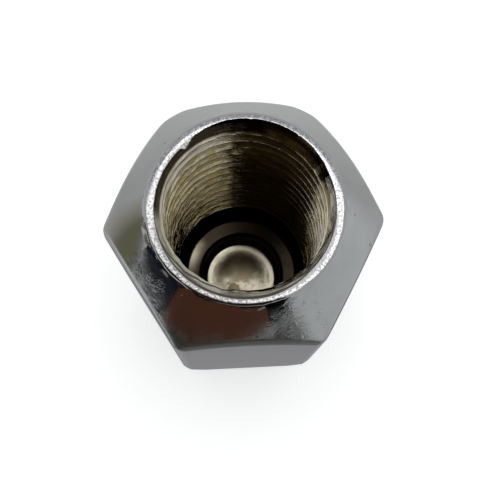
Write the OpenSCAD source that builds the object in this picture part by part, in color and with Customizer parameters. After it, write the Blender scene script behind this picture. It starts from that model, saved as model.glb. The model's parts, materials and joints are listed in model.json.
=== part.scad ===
// Closed-end lug nut with a conical seat, turned and plated from one piece of steel.
// It stands on the small flat at the tip of its closed end, with the threaded mouth up.
// The origin is the centre of that flat and +Z runs out of the mouth. Sizes are in millimetres.

/* [Overall] */
// Length over the mouth rim and the closed end
total_length = 25; // [20.5:0.5:32]
// Width across two opposite flats of the hexagon
hex_af = 17; // [14:0.5:22]
// How far each sharp corner of the hexagon is turned down, along the radius
corner_cut = 0.19; // [0.05:0.01:0.5]

/* [Seat and mouth] */
// Wall between the root of the thread and the outer edge of the mouth rim
rim_wall = 0.35; // [0.25:0.05:0.6]
// Angle between the axis and the side of the conical seat
seat_angle = 38; // [30:1:46]
// Radius on the outer edge of the mouth rim
rim_edge_r = 0.3; // [0.1:0.05:0.4]
// Width of the bevel inside the mouth, along the radius
mouth_bevel = 0.5; // [0.2:0.05:0.6]

/* [Thread] */
// Nominal diameter of the thread
thread_d = 12; // [10:0.5:14]
// Pitch of the thread
thread_pitch = 1.25; // [1:0.25:1.75]

/* [Floor of the bore] */
// Thickness of steel between the lowest ring of the floor and the tip
end_wall = 3.35; // [2.5:0.05:4.5]
// Width of the ledge that ends the full-width wall, along the radius
ledge_w = 0.62; // [0.4:0.02:0.9]
// Drop of that ledge from the wall to the step
ledge_drop = 0.5; // [0.2:0.05:0.7]
// Width of the step between the ledge and the lip of the well, along the radius
step_w = 1.25; // [0.6:0.05:1.5]
// Slope of the step down towards the well, in degrees
step_slope = 10; // [4:1:16]
// Radius on the lip of the well
well_lip_r = 0.3; // [0.1:0.05:0.4]
// Height of the foot of the ledge above the lowest ring of the floor
well_depth = 2.25; // [1.5:0.05:3]
// Angle between the axis and the side of the well
well_angle = 5; // [3:1:14]
// Radius between the side of the well and its floor
well_root_r = 0.4; // [0.2:0.05:0.6]
// Slope of the floor where it leaves that radius, in degrees
floor_slope = 7; // [3:1:12]
// Radius of the hollow that the floor's outer part is turned to
floor_hollow_r = 6.4; // [4:0.2:9]
// Radius of the slight crown in the middle of the floor
floor_crown_r = 50; // [25:1:80]

/* [Closed end] */
// Height of the dome below the hexagon
dome_height = 7.6; // [6:0.1:9.5]
// Width of the flat shoulder between the dome and the hexagon's flats
shoulder_w = 0.6; // [0.55:0.05:1]
// Radius between the shoulder and the dome
shoulder_r = 0.5; // [0.2:0.05:0.5]
// Diameter of the tip, where its flat and the dome's curve would meet
tip_d = 8.6; // [6.5:0.1:9.5]
// Radius on the edge of the tip
tip_edge_r = 1; // [0.4:0.1:1.5]
// Angle between the axis and the chamfer on the hexagon's lower corners
corner_chamfer_angle = 30; // [20:1:60]
// How far that chamfer reaches in from the turned corners, along the radius
corner_chamfer_w = 0.42; // [0.2:0.02:0.8]

/* [Hidden] */
$fn = 160;
// Sides that a small radius and the long curve of the dome are drawn with
edge_steps = 6;
dome_steps = 20;

// Point at a distance and an angle from a centre
function around(c, r, a) = c + r * [cos(a), sin(a)];

// Points along an arc. A first step of 1 leaves out the point that it shares with the arc before.
function arc(c, r, from, to, steps = edge_steps, first = 0) =
    [for (i = [first : steps]) around(c, r, from + (to - from) * i / steps)];

// Distance from a corner of an outline to where a radius on it touches either side.
// turn is the angle that the outline turns through at the corner.
function touch(r, turn) = r * tan(turn / 2);

// Hexagon: half its width across flats and across its turned corners
flat_r = hex_af / 2;
sharp_corner_r = flat_r / cos(30);
corner_r = sharp_corner_r - corner_cut;

// Thread: a 60 degree internal thread is 0.5413 of its pitch deep
bore_r = thread_d / 2 - 0.5413 * thread_pitch;
rim_r = thread_d / 2 + rim_wall;

// Seat: it meets the turned corners at its foot, and a radius joins it to the mouth face
seat_foot_z = total_length - (corner_r - rim_r) / tan(seat_angle);
rim_edge_c = [rim_r - touch(rim_edge_r, 90 - seat_angle), total_length - rim_edge_r];

// Dome: one arc leaves its side straight upright below the shoulder and curves in to the tip,
// where a smaller arc joins it to the flat
dome_r = flat_r - shoulder_w;
dome_bend_z = dome_height - shoulder_r;
dome_run = dome_r - tip_d / 2;
dome_arc_r = (dome_run * dome_run + dome_bend_z * dome_bend_z) / (2 * dome_run);
dome_arc_c = [dome_r - dome_arc_r, dome_bend_z];
tip_edge_reach = sqrt(pow(dome_arc_r - tip_edge_r, 2) - pow(dome_bend_z - tip_edge_r, 2));
tip_edge_c = [dome_arc_c[0] + tip_edge_reach, tip_edge_r];
tip_edge_angle = -acos(tip_edge_reach / (dome_arc_r - tip_edge_r));

// Ledge at the end of the full-width wall, step inside it, and the rounded lip of the well
ledge_foot = [bore_r - ledge_w, end_wall + well_depth];
lip = ledge_foot - step_w * [1, tan(step_slope)];
lip_touch = touch(well_lip_r, 90 - step_slope - well_angle);
lip_c = around(around(lip, lip_touch, step_slope), well_lip_r, step_slope - 90);

// Floor of the well: a radius leaves its side, a hollow takes that down to the lowest ring, and
// a crown rises from there to the axis
hollow_reach = floor_hollow_r - well_root_r;
root_z = end_wall + floor_hollow_r - hollow_reach * cos(floor_slope);
root_side_z = root_z - well_root_r * sin(well_angle);
root_side_r = lip[0] - (lip[1] - root_side_z) * tan(well_angle);
root_c = [root_side_r - well_root_r * cos(well_angle), root_z];
hollow_c = around(root_c, hollow_reach, 90 + floor_slope);
crown_angle = asin(hollow_c[0] / (floor_hollow_r + floor_crown_r));
crown_c = around(hollow_c, floor_hollow_r + floor_crown_r, -90 - crown_angle);
crown = arc(crown_c, floor_crown_r, 90, 90 - crown_angle, first = 1);

// Half-section of the outside: tip, dome, shoulder, lower chamfer, corners, seat and rounded rim
module turned_outline() {
    polygon(concat(
        [[0, 0]],
        arc(tip_edge_c, tip_edge_r, -90, tip_edge_angle),
        arc(dome_arc_c, dome_arc_r, tip_edge_angle, 0, dome_steps, 1),
        arc([dome_r + shoulder_r, dome_bend_z], shoulder_r, 180, 90, first = 1),
        [
            [corner_r - corner_chamfer_w, dome_height],
            [corner_r, dome_height + corner_chamfer_w / tan(corner_chamfer_angle)],
            [corner_r, seat_foot_z]
        ],
        arc(rim_edge_c, rim_edge_r, seat_angle, 90),
        [[0, total_length]]
    ));
}

// Half-section of the bore: crowned floor, flat at its very middle, then well, lip, step, ledge,
// wall and bevelled mouth
module bore_outline() {
    above_mouth = 1;
    polygon(concat(
        [[0, crown[0][1]]],
        crown,
        arc(hollow_c, floor_hollow_r, -90 - crown_angle, floor_slope - 90, first = 1),
        arc(root_c, well_root_r, floor_slope - 90, -well_angle, first = 1),
        arc(lip_c, well_lip_r, 180 - well_angle, 90 + step_slope),
        [
            ledge_foot,
            [bore_r, ledge_foot[1] + ledge_drop],
            [bore_r, total_length - mouth_bevel],
            [bore_r + mouth_bevel + above_mouth, total_length + above_mouth],
            [0, total_length + above_mouth]
        ]
    ));
}

// The whole nut: hexagon bar turned to its seat, corners and dome, and bored from the mouth
module nut_body() {
    color([0.72, 0.73, 0.75])
    difference() {
        intersection() {
            cylinder(h = total_length, r = sharp_corner_r, $fn = 6);
            rotate_extrude() turned_outline();
        }
        rotate_extrude() bore_outline();
    }
}

nut_body();
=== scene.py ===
"""A closed-end lug nut that stands on its tip, with its threaded mouth up, on a pale floor."""

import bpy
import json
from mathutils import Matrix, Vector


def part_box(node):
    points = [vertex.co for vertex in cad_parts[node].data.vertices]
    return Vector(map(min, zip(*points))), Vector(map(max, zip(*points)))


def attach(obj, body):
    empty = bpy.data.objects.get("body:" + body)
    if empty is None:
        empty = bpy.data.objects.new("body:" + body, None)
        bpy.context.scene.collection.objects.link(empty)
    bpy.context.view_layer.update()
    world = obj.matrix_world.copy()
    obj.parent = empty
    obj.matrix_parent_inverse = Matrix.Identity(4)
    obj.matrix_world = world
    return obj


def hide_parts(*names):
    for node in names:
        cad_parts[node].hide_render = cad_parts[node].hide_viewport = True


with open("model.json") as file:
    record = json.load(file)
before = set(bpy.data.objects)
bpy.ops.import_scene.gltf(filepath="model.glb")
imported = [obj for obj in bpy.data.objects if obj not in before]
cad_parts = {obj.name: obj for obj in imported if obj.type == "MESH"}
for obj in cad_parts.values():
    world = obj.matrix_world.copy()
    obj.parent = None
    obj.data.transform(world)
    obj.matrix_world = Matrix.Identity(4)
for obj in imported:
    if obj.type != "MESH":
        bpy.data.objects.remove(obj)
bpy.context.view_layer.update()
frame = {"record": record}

import json
import logging
import math
from abc import ABC, abstractmethod
from dataclasses import dataclass
from enum import Enum
from functools import cached_property, partial, reduce

import bmesh
import bpy
from bmesh.types import BMEdge, BMesh, BMFace, BMVert
from bpy.types import Material, Node, NodeOutputs, NodeSocket, NodeTree, Object
from mathutils import Matrix, Vector, noise

# A point is two numbers that give a place, such as a radius and a height. A span is where a ramp
# starts and where it ends.
Point = tuple[float, float]
Span = tuple[float, float]
Place = tuple[float, float, float]
Colour = tuple[float, float, float]

LOG = logging.getLogger("lug_nut")
MM = 0.001
# A hair's breadth, by which places on the mesh are told apart.
HAIR = 0.01 * MM
JOIN_WITHIN = 0.0005 * MM
UP = Vector((0.0, 0.0, 1.0))


class Finish(Enum):
    """The finishes of the nut, each with its place in the list of materials."""

    PLATE = 0
    RIM = 1
    BORE = 2


def around(centre: Point, radius: float, angle: float) -> Point:
    """Point at a distance and an angle from a centre.

    Args:
        centre: Radius and height of the centre, in metres.
        radius: Distance from it, in metres.
        angle: Direction, in degrees.

    Returns:
        Radius and height of the point.
    """
    turn = math.radians(angle)
    return (centre[0] + radius * math.cos(turn), centre[1] + radius * math.sin(turn))


def arc(centre: Point, radius: float, start: float, end: float, steps: int) -> list[Point]:
    """Points along an arc, both ends among them.

    Args:
        centre: Radius and height of the centre, in metres.
        radius: Radius of the arc, in metres.
        start: Direction of the first point, in degrees.
        end: Direction of the last point, in degrees.
        steps: How many chords the arc is drawn with.

    Returns:
        The points, each a radius and a height.
    """
    return [around(centre, radius, start + (end - start) * i / steps) for i in range(steps + 1)]


def touch(radius: float, turn: float) -> float:
    """Distance from a corner to where a radius on it touches its sides.

    Args:
        radius: Radius on the corner, in metres.
        turn: Angle that the outline turns through there, in degrees.

    Returns:
        The distance, in metres.
    """
    return radius * math.tan(math.radians(turn / 2))


def soft_min(a: float, b: float, width: float) -> float:
    """The smaller of two lengths, rounded off where they are nearly the same.

    Args:
        a: First length.
        b: Second length.
        width: Difference below which the rounding acts.

    Returns:
        The length.
    """
    near = max(width - abs(a - b), 0.0) / width
    return min(a, b) - near * near * width / 4


def ramp(value: float, start: float, end: float) -> float:
    """Smooth rise from 0 to 1 between two values.

    Args:
        value: Where on the ramp.
        start: Value at which it leaves 0.
        end: Value at which it reaches 1.

    Returns:
        The height of the ramp.
    """
    share = min(max((value - start) / (end - start), 0.0), 1.0)
    return share * share * (3 - 2 * share)


def angle_of(place: Vector) -> float:
    """Direction of a place, seen from the axis, in degrees."""
    return math.degrees(math.atan2(place.y, place.x))


@dataclass(frozen=True)
class NutSizes:
    """Sizes of the nut in metres and degrees. The frame gives the overall ones and the bore."""

    length: float
    flat_r: float
    corner_r: float
    bore_r: float
    thread_r: float = 6.0 * MM
    pitch: float = 1.25 * MM
    rim_r: float = 6.35 * MM
    seat_angle: float = 38.0
    rim_edge_r: float = 0.3 * MM
    mouth_bevel: float = 0.5 * MM
    end_wall: float = 3.35 * MM
    ledge_w: float = 0.62 * MM
    ledge_drop: float = 0.5 * MM
    step_w: float = 1.25 * MM
    step_slope: float = 10.0
    lip_r: float = 0.3 * MM
    well_depth: float = 2.25 * MM
    well_angle: float = 5.0
    root_r: float = 0.4 * MM
    floor_slope: float = 7.0
    hollow_r: float = 6.4 * MM
    crown_r: float = 50.0 * MM
    dome_height: float = 7.6 * MM
    shoulder_w: float = 0.6 * MM
    shoulder_r: float = 0.5 * MM
    tip_r: float = 4.3 * MM
    tip_edge_r: float = 1.0 * MM
    chamfer_angle: float = 30.0
    chamfer_w: float = 0.42 * MM

    @classmethod
    def from_frame(cls) -> "NutSizes":
        """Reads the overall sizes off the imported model.

        Returns:
            The sizes.
        """
        low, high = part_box("nut_body")
        mounts = {mount["name"]: mount for mount in frame["record"]["mounts"]}
        return cls(
            length=high[2] - low[2],
            flat_r=(high[1] - low[1]) / 2,
            corner_r=(high[0] - low[0]) / 2,
            bore_r=mounts["thread_bore"]["dims"]["r_mm"] * MM,
        )

    def outside(self) -> list[Point]:
        """Half-section of the outside, from the middle of the tip up to the mouth face.

        Returns:
            The points, each a radius and a height.
        """
        dome_r = self.flat_r - self.shoulder_w
        bend_z = self.dome_height - self.shoulder_r
        run = dome_r - self.tip_r
        dome_arc_r = (run * run + bend_z * bend_z) / (2 * run)
        centre = (dome_r - dome_arc_r, bend_z)
        reach = math.sqrt((dome_arc_r - self.tip_edge_r) ** 2 - (bend_z - self.tip_edge_r) ** 2)
        edge_centre = (centre[0] + reach, self.tip_edge_r)
        edge_angle = -math.degrees(math.acos(reach / (dome_arc_r - self.tip_edge_r)))
        chamfer_rise = self.chamfer_w / math.tan(math.radians(self.chamfer_angle))
        foot_z = self.length - (self.corner_r - self.rim_r) / math.tan(math.radians(self.seat_angle))
        rim_centre = (
            self.rim_r - touch(self.rim_edge_r, 90 - self.seat_angle),
            self.length - self.rim_edge_r,
        )
        return [
            (0.0, 0.0),
            *arc(edge_centre, self.tip_edge_r, -90, edge_angle, steps=6),
            *arc(centre, dome_arc_r, edge_angle, 0, steps=14)[1:],
            *arc((dome_r + self.shoulder_r, bend_z), self.shoulder_r, 180, 90, steps=6)[1:],
            (self.corner_r - self.chamfer_w, self.dome_height),
            (self.corner_r, self.dome_height + chamfer_rise),
            (self.corner_r, foot_z),
            *arc(rim_centre, self.rim_edge_r, self.seat_angle, 90, steps=8),
        ]

    def inside(self) -> list[Point]:
        """Half-section of the bore, from the mouth face down to the middle of its floor.

        Returns:
            The points, each a radius and a height.
        """
        foot = (self.bore_r - self.ledge_w, self.end_wall + self.well_depth)
        drop = self.step_w * math.tan(math.radians(self.step_slope))
        lip = (foot[0] - self.step_w, foot[1] - drop)
        turn = 90 - self.step_slope - self.well_angle
        lip_start = around(lip, touch(self.lip_r, turn), self.step_slope)
        lip_centre = around(lip_start, self.lip_r, self.step_slope - 90)
        reach = self.hollow_r - self.root_r
        root_z = self.end_wall + self.hollow_r - reach * math.cos(math.radians(self.floor_slope))
        side = math.radians(self.well_angle)
        side_r = lip[0] - (lip[1] - root_z + self.root_r * math.sin(side)) * math.tan(side)
        root = (side_r - self.root_r * math.cos(side), root_z)
        hollow = around(root, reach, 90 + self.floor_slope)
        channel = math.degrees(math.asin(hollow[0] / (self.hollow_r + self.crown_r)))
        crown = around(hollow, self.hollow_r + self.crown_r, -90 - channel)
        return [
            (self.bore_r + self.mouth_bevel, self.length),
            (self.bore_r, self.length - self.mouth_bevel),
            (self.bore_r, foot[1] + self.ledge_drop),
            foot,
            *arc(lip_centre, self.lip_r, 90 + self.step_slope, 180 - self.well_angle, steps=6),
            *arc(root, self.root_r, -self.well_angle, self.floor_slope - 90, steps=8),
            *arc(hollow, self.hollow_r, self.floor_slope - 90, -90 - channel, steps=8)[1:],
            *arc(crown, self.crown_r, 90 - channel, 90, steps=6)[1:],
        ]


def as_object(bm: BMesh, name: str) -> Object:
    """Makes an object of a bmesh and frees the bmesh.

    Args:
        bm: The mesh, in metres and in its place.
        name: Name of the object and its mesh.

    Returns:
        The object, at the origin.
    """
    mesh = bpy.data.meshes.new(name)
    bm.to_mesh(mesh)
    bm.free()
    thing = bpy.data.objects.new(name, mesh)
    bpy.context.scene.collection.objects.link(thing)
    return thing


def repeat(bm: BMesh, count: int, move: Matrix) -> None:
    """Copies all of a mesh again and again, each copy moved on from the one before, and joins them.

    Args:
        bm: The mesh.
        count: How many there are in the end.
        move: The move from one to the next.
    """
    latest = [*bm.verts, *bm.edges, *bm.faces]
    for _ in range(count - 1):
        latest = bmesh.ops.duplicate(bm, geom=latest)["geom"]
        verts = [item for item in latest if isinstance(item, BMVert)]
        bmesh.ops.transform(bm, matrix=move, verts=verts)
    bmesh.ops.remove_doubles(bm, verts=bm.verts, dist=JOIN_WITHIN)


@dataclass(frozen=True)
class RidgeBreak:
    """Where the thin ridge at the mouth has broken off, in metres and degrees round the axis."""

    start: float = 18.0
    end: float = 132.0
    widest: float = 74.0
    narrowing: float = 1.6
    lift: float = 0.95 * MM
    lift_fade: float = 12.0
    shallower: float = 0.24 * MM
    last_shallower: float = 0.2 * MM
    last_stretch: Span = (98.0, 130.0)
    ragged: float = 0.07 * MM
    grain: float = 0.4 * MM

    def groove_r(self, thread_r: float, angle: float, place: Vector) -> float:
        """Radius that the open groove reaches there.

        Args:
            thread_r: Radius at the root of the whole thread, in metres.
            angle: Direction, in degrees.
            place: The place, for its raggedness.

        Returns:
            The radius, in metres.
        """
        swing = math.cos(math.radians((angle - self.widest) * self.narrowing))
        ragged = self.ragged * noise.noise(place / self.grain)
        reach = thread_r - self.shallower * (1 - max(swing, 0.0)) + ragged
        return reach - self.last_shallower * ramp(angle, *self.last_stretch)


@dataclass(frozen=True)
class ThreadCutter:
    """The tool shape that cuts the thread: one groove wound up the bore and out of the mouth."""

    sizes: NutSizes
    ridge_break: RidgeBreak = RidgeBreak()
    steps_per_turn: int = 144
    depth: float = 18.1 * MM
    turns_above_mouth: float = 1.2
    exit_angle: float = 262.0
    flank_angle: float = 30.0
    flare_angle: float = 62.0
    root_flat: float = 1 / 8
    reach_in: float = 0.15 * MM
    crest_soft: float = 0.02 * MM
    undercut: float = 0.24 * MM
    lean: float = 0.1 * MM
    run_out_turns: float = 0.6
    run_out_depth: float = 0.15

    @property
    def inner_r(self) -> float:
        """Radius of the groove's open side, a little inside the bore's wall."""
        return self.sizes.bore_r - self.reach_in

    @property
    def root_half(self) -> float:
        """Half the width of the flat at the groove's root."""
        return self.sizes.pitch * self.root_flat / 2

    def half_width(self, radius: float) -> float:
        """Half the groove's width at a distance from the axis.

        Args:
            radius: Distance from the axis, in metres.

        Returns:
            Half the width along the axis, in metres.
        """
        flank = math.tan(math.radians(self.flank_angle))
        return self.root_half + (self.sizes.thread_r - radius) * flank

    def section(self) -> list[Point]:
        """The groove's section: crests a little rounded off, and thinned from below.

        Returns:
            Its corners, each a radius and a height over the groove's middle.
        """
        crest_r = self.sizes.bore_r + self.crest_soft
        wide = self.half_width(crest_r)
        flare = wide + (crest_r - self.inner_r) * math.tan(math.radians(self.flare_angle))
        return [
            (self.inner_r, -flare),
            (crest_r, -wide),
            (self.sizes.thread_r, -self.root_half),
            (self.sizes.thread_r, self.root_half),
            (crest_r, wide + self.undercut),
            (self.inner_r, flare + self.undercut),
        ]

    def build(self) -> Object:
        """Winds the groove's section up the bore.

        Returns:
            The cutter as an object.
        """
        pitch = self.sizes.pitch
        turns_down = self.depth / pitch
        start_angle = math.radians(self.exit_angle - 360 * turns_down)
        start_z = self.sizes.length - self.depth
        turn = Matrix.Rotation(start_angle, 3, "Z")
        bm = bmesh.new()
        corners = [bm.verts.new(turn @ Vector((r, 0.0, start_z + z))) for r, z in self.section()]
        edges = [bm.edges.new(pair) for pair in zip(corners, corners[1:] + corners[:1])]
        bmesh.ops.spin(
            bm,
            geom=[*corners, *edges],
            cent=(0, 0, 0),
            axis=UP,
            angle=2 * math.pi,
            steps=self.steps_per_turn,
            dvec=UP * pitch / self.steps_per_turn,
        )
        repeat(bm, round(turns_down + self.turns_above_mouth), Matrix.Translation(UP * pitch))
        bmesh.ops.holes_fill(bm, edges=bm.edges, sides=len(corners))
        self.run_out(bm, start_z)
        self.lean_flanks(bm)
        self.break_open(bm)
        bmesh.ops.recalc_face_normals(bm, faces=bm.faces)
        return as_object(bm, "thread_cutter")

    def run_out(self, bm: BMesh, start_z: float) -> None:
        """Draws the lowest turn in towards the axis, so that the groove fades into the wall.

        Args:
            bm: The wound groove.
            start_z: Height of the groove's middle at its lower end, in metres.
        """
        for vert in bm.verts:
            radius = vert.co.xy.length
            rise = vert.co.z - start_z
            share = ramp(rise, 0.0, self.run_out_turns * self.sizes.pitch)
            depth = self.run_out_depth + (1 - self.run_out_depth) * share
            vert.co.xy *= (self.inner_r + (radius - self.inner_r) * depth) / radius

    def lean_flanks(self, bm: BMesh) -> None:
        """Flattens the lower flanks with depth, as the tap's taper leaves them.

        Args:
            bm: The wound groove.
        """
        for vert in bm.verts:
            inner = 1 - ramp(vert.co.xy.length, self.sizes.bore_r, self.sizes.thread_r)
            depth = (self.sizes.length - vert.co.z) / self.depth
            vert.co.z += self.lean * inner * min(max(depth, 0.0), 1.0)

    def middle_at(self, vert: BMVert) -> float:
        """Height of the groove's middle in the turn that a point belongs to.

        Args:
            vert: A point of the wound groove.

        Returns:
            The height, in metres.
        """
        pitch = self.sizes.pitch
        near = self.sizes.length + (angle_of(vert.co) - self.exit_angle) / 360 * pitch
        return near + round((vert.co.z - near) / pitch) * pitch

    def break_open(self, bm: BMesh) -> None:
        """Lifts the groove's upper side out of the mouth, where the thin ridge over it has broken off.

        Args:
            bm: The wound groove.
        """
        gap = self.ridge_break
        for vert in bm.verts:
            angle = angle_of(vert.co) % 360
            middle = self.middle_at(vert)
            in_break = gap.start < angle < gap.end
            is_last_turn = self.sizes.length - self.sizes.pitch < middle < self.sizes.length
            if not (in_break and is_last_turn and vert.co.z > middle):
                continue
            radius = vert.co.xy.length
            widest = gap.groove_r(self.sizes.thread_r, angle, vert.co)
            vert.co.xy *= min(radius, widest) / radius
            vert.co.z += gap.lift * ramp(gap.end - angle, 0.0, gap.lift_fade)


@dataclass(frozen=True)
class Rows:
    """How high the rows of faces are on straight stretches of the half-sections, in metres."""

    sizes: NutSizes
    well: float = 0.16 * MM
    mouth: float = 0.1 * MM
    seat_top: float = 0.11 * MM
    body: float = 0.4 * MM
    chamfer: float = 0.12 * MM
    well_top: float = 7 * MM
    seat_top_depth: float = 2 * MM
    chamfer_top: float = 1 * MM
    long_wall: float = 15 * MM
    short_edge: float = 0.2 * MM

    def height(self, low: Vector, high: Vector) -> float:
        """How high a row is on a stretch.

        Args:
            low: The lower end of the stretch.
            high: Its upper end.

        Returns:
            The height in metres, infinite where one row does.
        """
        sizes = self.sizes
        middle = (low + high) / 2
        if middle.x < sizes.bore_r - HAIR and sizes.end_wall < middle.z < self.well_top:
            return self.well
        if middle.x < sizes.bore_r + HAIR or high.z - low.z > self.long_wall:
            return math.inf
        if middle.z > sizes.length - 2 * sizes.rim_edge_r:
            return self.mouth
        if high.z > sizes.length - self.seat_top_depth:
            return self.seat_top
        if middle.z > sizes.dome_height + self.chamfer_top:
            return self.body
        return self.chamfer if middle.z > sizes.dome_height else math.inf

    def cuts_in(self, edge: BMEdge) -> int:
        """How many times a stretch is cut.

        Args:
            edge: The stretch.

        Returns:
            The number of cuts.
        """
        length = edge.calc_length()
        if length < self.short_edge:
            return 0
        ends = sorted((vert.co for vert in edge.verts), key=lambda place: place.z)
        return max(math.ceil(length / self.height(*ends)) - 1, 0)


@dataclass(frozen=True)
class Wear:
    """How unevenly an edge is worn: how deep, and how long its dents are, in metres."""

    depth: float
    coarse: float
    fine: float
    fine_share: float

    def at(self, place: Vector) -> float:
        """Unevenness at a place, a number around 0."""
        return noise.noise(place / self.coarse) + self.fine_share * noise.noise(place / self.fine)


@dataclass(frozen=True)
class Burr:
    """Rim metal that hangs over the bore's edge on one side, in metres and degrees."""

    hang: float = 0.36 * MM
    start: Span = (118.0, 140.0)
    end: Span = (178.0, 160.0)

    def at(self, angle: float) -> float:
        """How far it hangs down in a direction."""
        return self.hang * ramp(angle, *self.start) * ramp(angle, *self.end)


@dataclass
class LugNut:
    """The nut: a turned skin with six pressed flats, and a threaded bore that joins it at the mouth."""

    sizes: NutSizes
    segments: int = 324
    sides: int = 6
    sharp_angle: float = 32.0

    # The ring on the mouth face where skin and bore meet, and how far the sleeve goes on under the floor.
    join_r: float = 6.1 * MM
    sleeve_end: float = 1 * MM

    # How soft the creases are at the corners and at the seat, and from where to where below the mouth.
    corner_soft: float = 0.06 * MM
    seat_soft: float = 0.3 * MM
    seat_start: float = 5.0 * MM
    seat_full: float = 3.6 * MM

    # The corners behind are lower: by how much, on which side, and in full how far below the mouth.
    back_cut: float = 0.28 * MM
    back_soft: float = 0.25 * MM
    back_side: Span = (0.5, 0.8)
    back_top: float = 6 * MM

    # The thread's crests are worn, less so with depth, and clear of its roots.
    crest_wear: Wear = Wear(depth=0.05 * MM, coarse=0.9 * MM, fine=0.33 * MM, fine_share=0.7)
    crest_height: float = 0.4 * MM
    crest_wave: float = 0.5 * MM
    crest_fade: Span = (1 * MM, 6 * MM)
    crest_faded: float = 0.6
    worn_depth: float = 17.5 * MM
    root_clear: float = 0.1 * MM

    # The rim is dented in a band below its face, and rim metal hangs over the bore's edge as a burr.
    rim_wear: Wear = Wear(depth=0.04 * MM, coarse=0.8 * MM, fine=0.3 * MM, fine_share=0.6)
    rim_bulge: float = 0.3
    rim_band: Span = (0.5 * MM, 0.1 * MM)
    burr: Burr = Burr()

    # Where one finish ends and the next begins: the last as a share of the rim edge's radius.
    bore_margin: float = 0.05 * MM
    rim_start: float = 0.1 * MM
    rim_share: float = 0.04

    piece: Object | None = None

    def build(self) -> None:
        """Makes the piece."""
        bore = self.threaded_bore()
        bm = self.skin()
        bm.from_mesh(bore.data)
        bpy.data.objects.remove(bore)
        bmesh.ops.remove_doubles(bm, verts=bm.verts, dist=JOIN_WITHIN)
        bmesh.ops.recalc_face_normals(bm, faces=bm.faces)
        self.wear_crests(bm)
        self.wear_rim(bm)
        self.mark_edges(bm)
        self.piece = as_object(bm, "lug_nut")

    def wear_crests(self, bm: BMesh) -> None:
        """Makes the crests of the thread uneven, most of all near the mouth.

        Args:
            bm: The nut's mesh.
        """
        sizes = self.sizes
        for vert in bm.verts:
            radius = vert.co.xy.length
            depth = sizes.length - vert.co.z
            on_ridge = sizes.bore_r - HAIR < radius < sizes.thread_r - self.root_clear
            if not on_ridge or depth > self.worn_depth:
                continue
            near_crest = 1 - ramp(radius - sizes.bore_r, 0.0, self.crest_height)
            near_mouth = 1 - self.crest_faded * ramp(depth, *self.crest_fade)
            wear = self.crest_wear.depth * near_crest * near_mouth
            vert.co.xy *= 1 + wear * self.crest_wear.at(vert.co) / radius
            vert.co.z += wear * noise.noise(vert.co / self.crest_wave)

    def wear_rim(self, bm: BMesh) -> None:
        """Dents the mouth rim a little on its outer edge.

        Args:
            bm: The nut's mesh.
        """
        foot, full = (self.sizes.length - depth for depth in self.rim_band)
        for vert in bm.verts:
            radius = vert.co.xy.length
            if vert.co.z < foot or radius < self.join_r + HAIR:
                continue
            near_top = ramp(vert.co.z, foot, full)
            dent = max(self.rim_wear.at(vert.co), -self.rim_bulge)
            vert.co.xy *= 1 - self.rim_wear.depth * near_top * dent / radius

    def spun(self, outline: list[Point]) -> BMesh:
        """Spins a half-section right round the axis.

        Args:
            outline: Its points, each a radius and a height.

        Returns:
            The turned shape.
        """
        bm = bmesh.new()
        verts = [bm.verts.new((r, 0.0, z)) for r, z in outline]
        for low, high in zip(verts, verts[1:]):
            bm.edges.new((low, high))
        rows = Rows(self.sizes)
        for edge in list(bm.edges):
            cuts = rows.cuts_in(edge)
            if cuts:
                bmesh.ops.subdivide_edges(bm, edges=[edge], cuts=cuts)
        share = 2 * math.pi / self.sides
        bmesh.ops.spin(
            bm,
            geom=[*bm.verts, *bm.edges],
            cent=(0, 0, 0),
            axis=UP,
            angle=share,
            steps=self.segments // self.sides,
        )
        repeat(bm, self.sides, Matrix.Rotation(share, 4, "Z"))
        bmesh.ops.recalc_face_normals(bm, faces=bm.faces)
        return bm

    def skin(self) -> BMesh:
        """Turns the outside as far as a ring on the mouth face, and presses the flats.

        Returns:
            The skin, open at that ring.
        """
        bm = self.spun([*self.sizes.outside(), (self.join_r, self.sizes.length)])
        self.press_flats(bm)
        return bm

    def threaded_bore(self) -> Object:
        """Cuts the thread in a plain sleeve, and keeps the sleeve's inside.

        Returns:
            The bore's surface, open at a ring on the mouth face.
        """
        inside = self.sizes.inside()
        below = inside[-1][1] - self.sleeve_end
        outline = [
            *inside,
            (0.0, below),
            (self.join_r, below),
            (self.join_r, self.sizes.length),
            inside[0],
        ]
        sleeve = as_object(self.spun(outline), "sleeve")
        self.cut(sleeve, ThreadCutter(self.sizes).build())
        bm = bmesh.new()
        bm.from_mesh(sleeve.data)
        waste = [
            face
            for face in bm.faces
            if all(vert.co.xy.length > self.join_r - HAIR for vert in face.verts)
            or all(vert.co.z < below + HAIR for vert in face.verts)
        ]
        bmesh.ops.delete(bm, geom=waste, context="FACES")
        bm.to_mesh(sleeve.data)
        bm.free()
        return sleeve

    def press_flats(self, bm: BMesh) -> None:
        """Presses the turned outside to the hexagon, with a soft crease round each flat.

        Args:
            bm: The spun blank.
        """
        sizes = self.sizes
        share = 2 * math.pi / self.sides
        for vert in bm.verts:
            radius = vert.co.xy.length
            if radius < sizes.bore_r:
                continue
            angle = math.atan2(vert.co.y, vert.co.x)
            flat = sizes.flat_r / math.cos(math.remainder(angle - share / 2, share))
            rise = ramp(vert.co.z, sizes.length - self.seat_start, sizes.length - self.seat_full)
            soft = self.corner_soft + (self.seat_soft - self.corner_soft) * rise
            upward = ramp(vert.co.z, sizes.dome_height, sizes.length - self.back_top)
            back = ramp(math.sin(angle), *self.back_side) * upward
            turned = sizes.corner_r - self.back_cut * back
            pressed = soft_min(radius, flat, soft)
            vert.co.xy *= soft_min(pressed, turned, self.back_soft * back + HAIR / 10) / radius

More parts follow.
